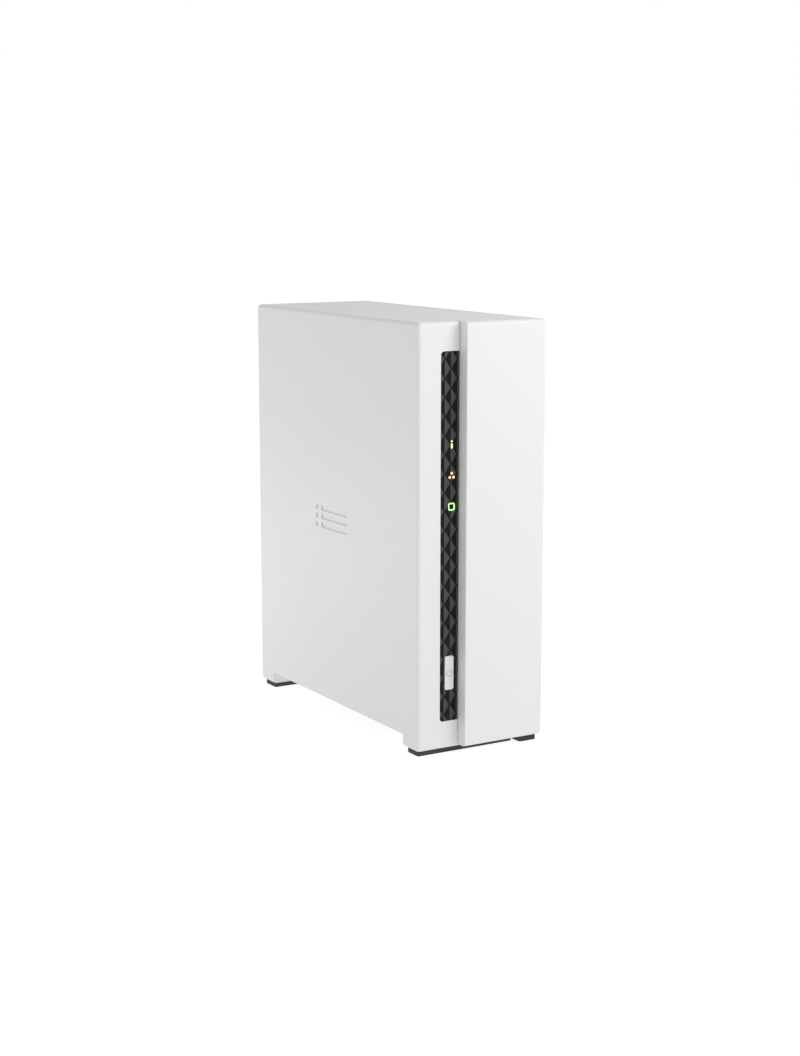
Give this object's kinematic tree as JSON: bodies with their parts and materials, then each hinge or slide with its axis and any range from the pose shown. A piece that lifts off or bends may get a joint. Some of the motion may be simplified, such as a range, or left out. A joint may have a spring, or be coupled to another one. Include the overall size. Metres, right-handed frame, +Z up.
{
  "type": "network attached storage",
  "caption": "Slim upright white network storage box with a proud front panel, black faceted strip, lights, power button, rear fan, sockets and an upright disk inside.",
  "frame": {"origin": "on the ground, under the middle of the case", "axes": "+Z up, front faces -Y, +X to the right when looking at the front"},
  "size_m": [0.0618, 0.156, 0.1886],
  "materials": {
    "white_shell": "fine satin texture, white",
    "white_button": "smooth satin, white",
    "black_strip": "semi-gloss faceted black",
    "rubber": "matt dark grey",
    "green_lens": "clear, lit green",
    "amber_lens": "clear, lit amber",
    "circuit_board": "solder resist, green",
    "chip": "moulded package, black",
    "black_plastic": "moulded, black",
    "white_plastic": "moulded, natural white",
    "lead": "sleeved, black",
    "socket_metal": "tin-plated",
    "steel_sheet": "galvanised",
    "screw": "zinc-plated",
    "heat_sink": "extruded, clear anodised",
    "can": "drawn can",
    "cell": "nickel-plated",
    "disk_casting": "die cast",
    "disk_lid": "pressed, satin",
    "platter": "polished"
  },
  "bodies": {
    "base": {"backplane_slot": "black_plastic", "base_shell": "white_shell", "battery_holder": "black_plastic", "board_link_header": "black_plastic", "board_screw_front": "screw", "board_screw_rear": "screw", "buzzer": "black_plastic", "capacitor": "can", "clock_battery": "cell", "cover_screw_lower": "screw", "cover_screw_upper": "screw", "disk_backplane": "circuit_board", "disk_light_pipe": "green_lens", "disk_socket": "black_plastic", "drive_frame": "steel_sheet", "fan_frame": "black_plastic", "fan_header": "white_plastic", "fan_lead": "lead", "fan_screw_1": "screw", "fan_screw_2": "screw", "fan_screw_3": "screw", "fan_screw_4": "screw", "foot_strip_front": "rubber", "foot_strip_rear": "rubber", "frame_screw_front": "screw", "frame_screw_rear": "screw", "front_strip": "black_strip", "heat_sink": "heat_sink", "info_light_pipe": "green_lens", "lan_socket": "socket_metal", "light_board": "circuit_board", "light_board_screw": "screw", "main_board": "circuit_board", "memory_chip": "chip", "network_light_pipe": "amber_lens", "network_transformer": "chip", "power_inlet": "black_plastic", "power_switch": "socket_metal", "processor_chip": "chip", "reset_switch": "black_plastic", "usb_port_lower": "socket_metal", "usb_port_upper": "socket_metal"},
    "cover": {"case_cover": "white_shell", "cover_foot_front": "rubber", "cover_foot_rear": "rubber"},
    "power_button": {"power_button": "white_button", "power_switch_plunger": "black_plastic"},
    "reset_button": {"reset_plunger": "black_plastic"},
    "fan": {"fan_rotor": "black_plastic"},
    "disk": {"disk_body": "disk_casting", "disk_lid": "disk_lid", "disk_board": "circuit_board", "disk_plug": "black_plastic", "disk_screw_front_lower": "screw", "disk_screw_front_upper": "screw", "disk_screw_rear_lower": "screw", "disk_screw_rear_upper": "screw"},
    "platters": {"disk_platters": "platter"},
    "head_arm": {"disk_head_arm": "disk_casting"}
  },
  "joints": [
    {"name": "cover_slide", "type": "slide", "parent": "base", "child": "cover", "axis": [0, -1, 0], "range_m": [0, 0.16]},
    {"name": "power_button_press", "type": "slide", "parent": "base", "child": "power_button", "axis": [0, 1, 0], "range_m": [0, 0.0008], "stiffness_N_per_m": 1500, "springref_m": -0.0004},
    {"name": "reset_press", "type": "slide", "parent": "base", "child": "reset_button", "axis": [0, -1, 0], "range_m": [0, 0.0005], "stiffness_N_per_m": 1500, "springref_m": -0.0004},
    {"name": "fan_spin", "type": "hinge", "parent": "base", "child": "fan", "pos_m": [0.0015, 0.0691, 0.142], "axis": [0, 1, 0], "continuous": true},
    {"name": "disk_unplug", "type": "slide", "parent": "base", "child": "disk", "axis": [0, 0, 1], "range_m": [0, 0.006]},
    {"name": "spindle_spin", "type": "hinge", "parent": "disk", "child": "platters", "pos_m": [0.01, -0.0012, 0.123], "axis": [1, 0, 0], "continuous": true},
    {"name": "head_arm_swing", "type": "hinge", "parent": "disk", "child": "head_arm", "pos_m": [0.01, 0.027, 0.072], "axis": [1, 0, 0], "range_deg": [0, 34]}
  ]
}
